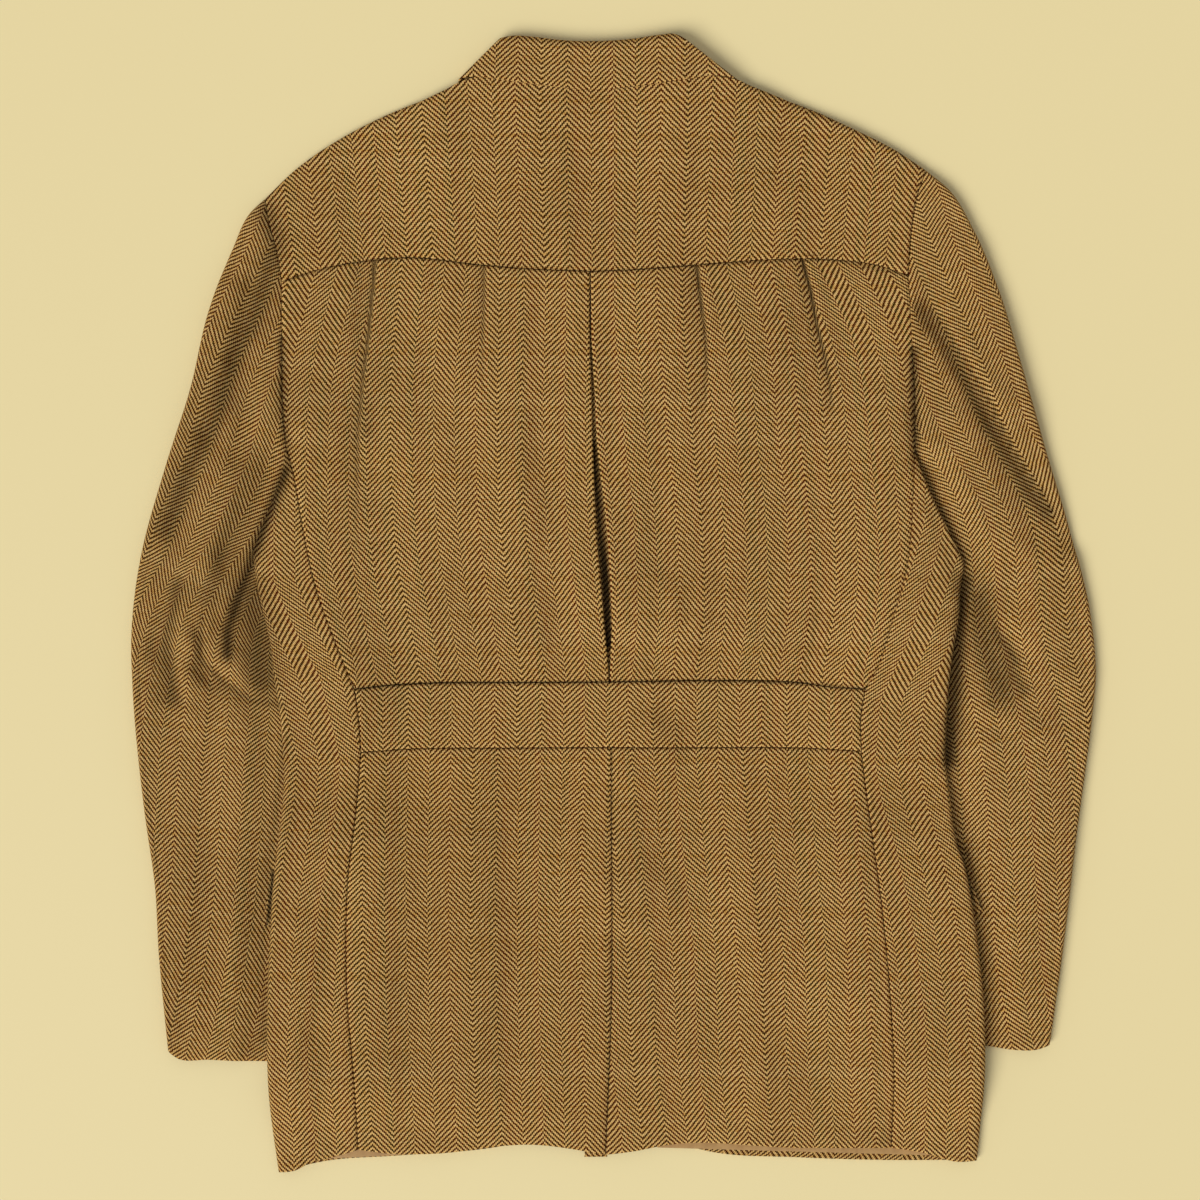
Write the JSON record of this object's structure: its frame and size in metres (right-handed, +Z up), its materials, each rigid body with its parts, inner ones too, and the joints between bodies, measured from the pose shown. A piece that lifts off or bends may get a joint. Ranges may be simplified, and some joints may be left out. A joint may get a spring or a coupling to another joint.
{
  "type": "sport coat",
  "caption": "Belted-back herringbone tweed sport coat laid flat on its front, with yoke, centre pleat, half belt and vent.",
  "frame": {"origin": "centre of the bounding box of the coat as it lies, on the floor under it", "axes": "+Z up from the floor through the back of the coat, +Y from the hem to the collar, wearer's left at -X"},
  "size_m": [0.6767, 0.7986, 0.0168],
  "materials": {
    "tweed": "brown and gold herringbone tweed with a soft nap",
    "lining": "golden brown sateen",
    "button": "polished horn-like brown"
  },
  "bodies": {
    "root": {"yoke": "tweed", "back_upper": "tweed", "belt": "tweed", "skirt_left": "tweed", "skirt_right": "tweed", "front_left": "tweed", "front_right": "tweed", "lapel_left": "tweed", "lapel_right": "tweed", "collar": "tweed", "collar_stand": "tweed", "top_sleeve_left": "tweed", "top_sleeve_right": "tweed", "under_sleeve_left": "tweed", "under_sleeve_right": "tweed", "pocket_left": "tweed", "pocket_right": "tweed", "pocket_flap_left": "tweed", "pocket_flap_right": "tweed", "lining_left": "lining", "lining_right": "lining", "button_1": "button", "button_2": "button", "button_3": "button"}
  },
  "joints": []
}
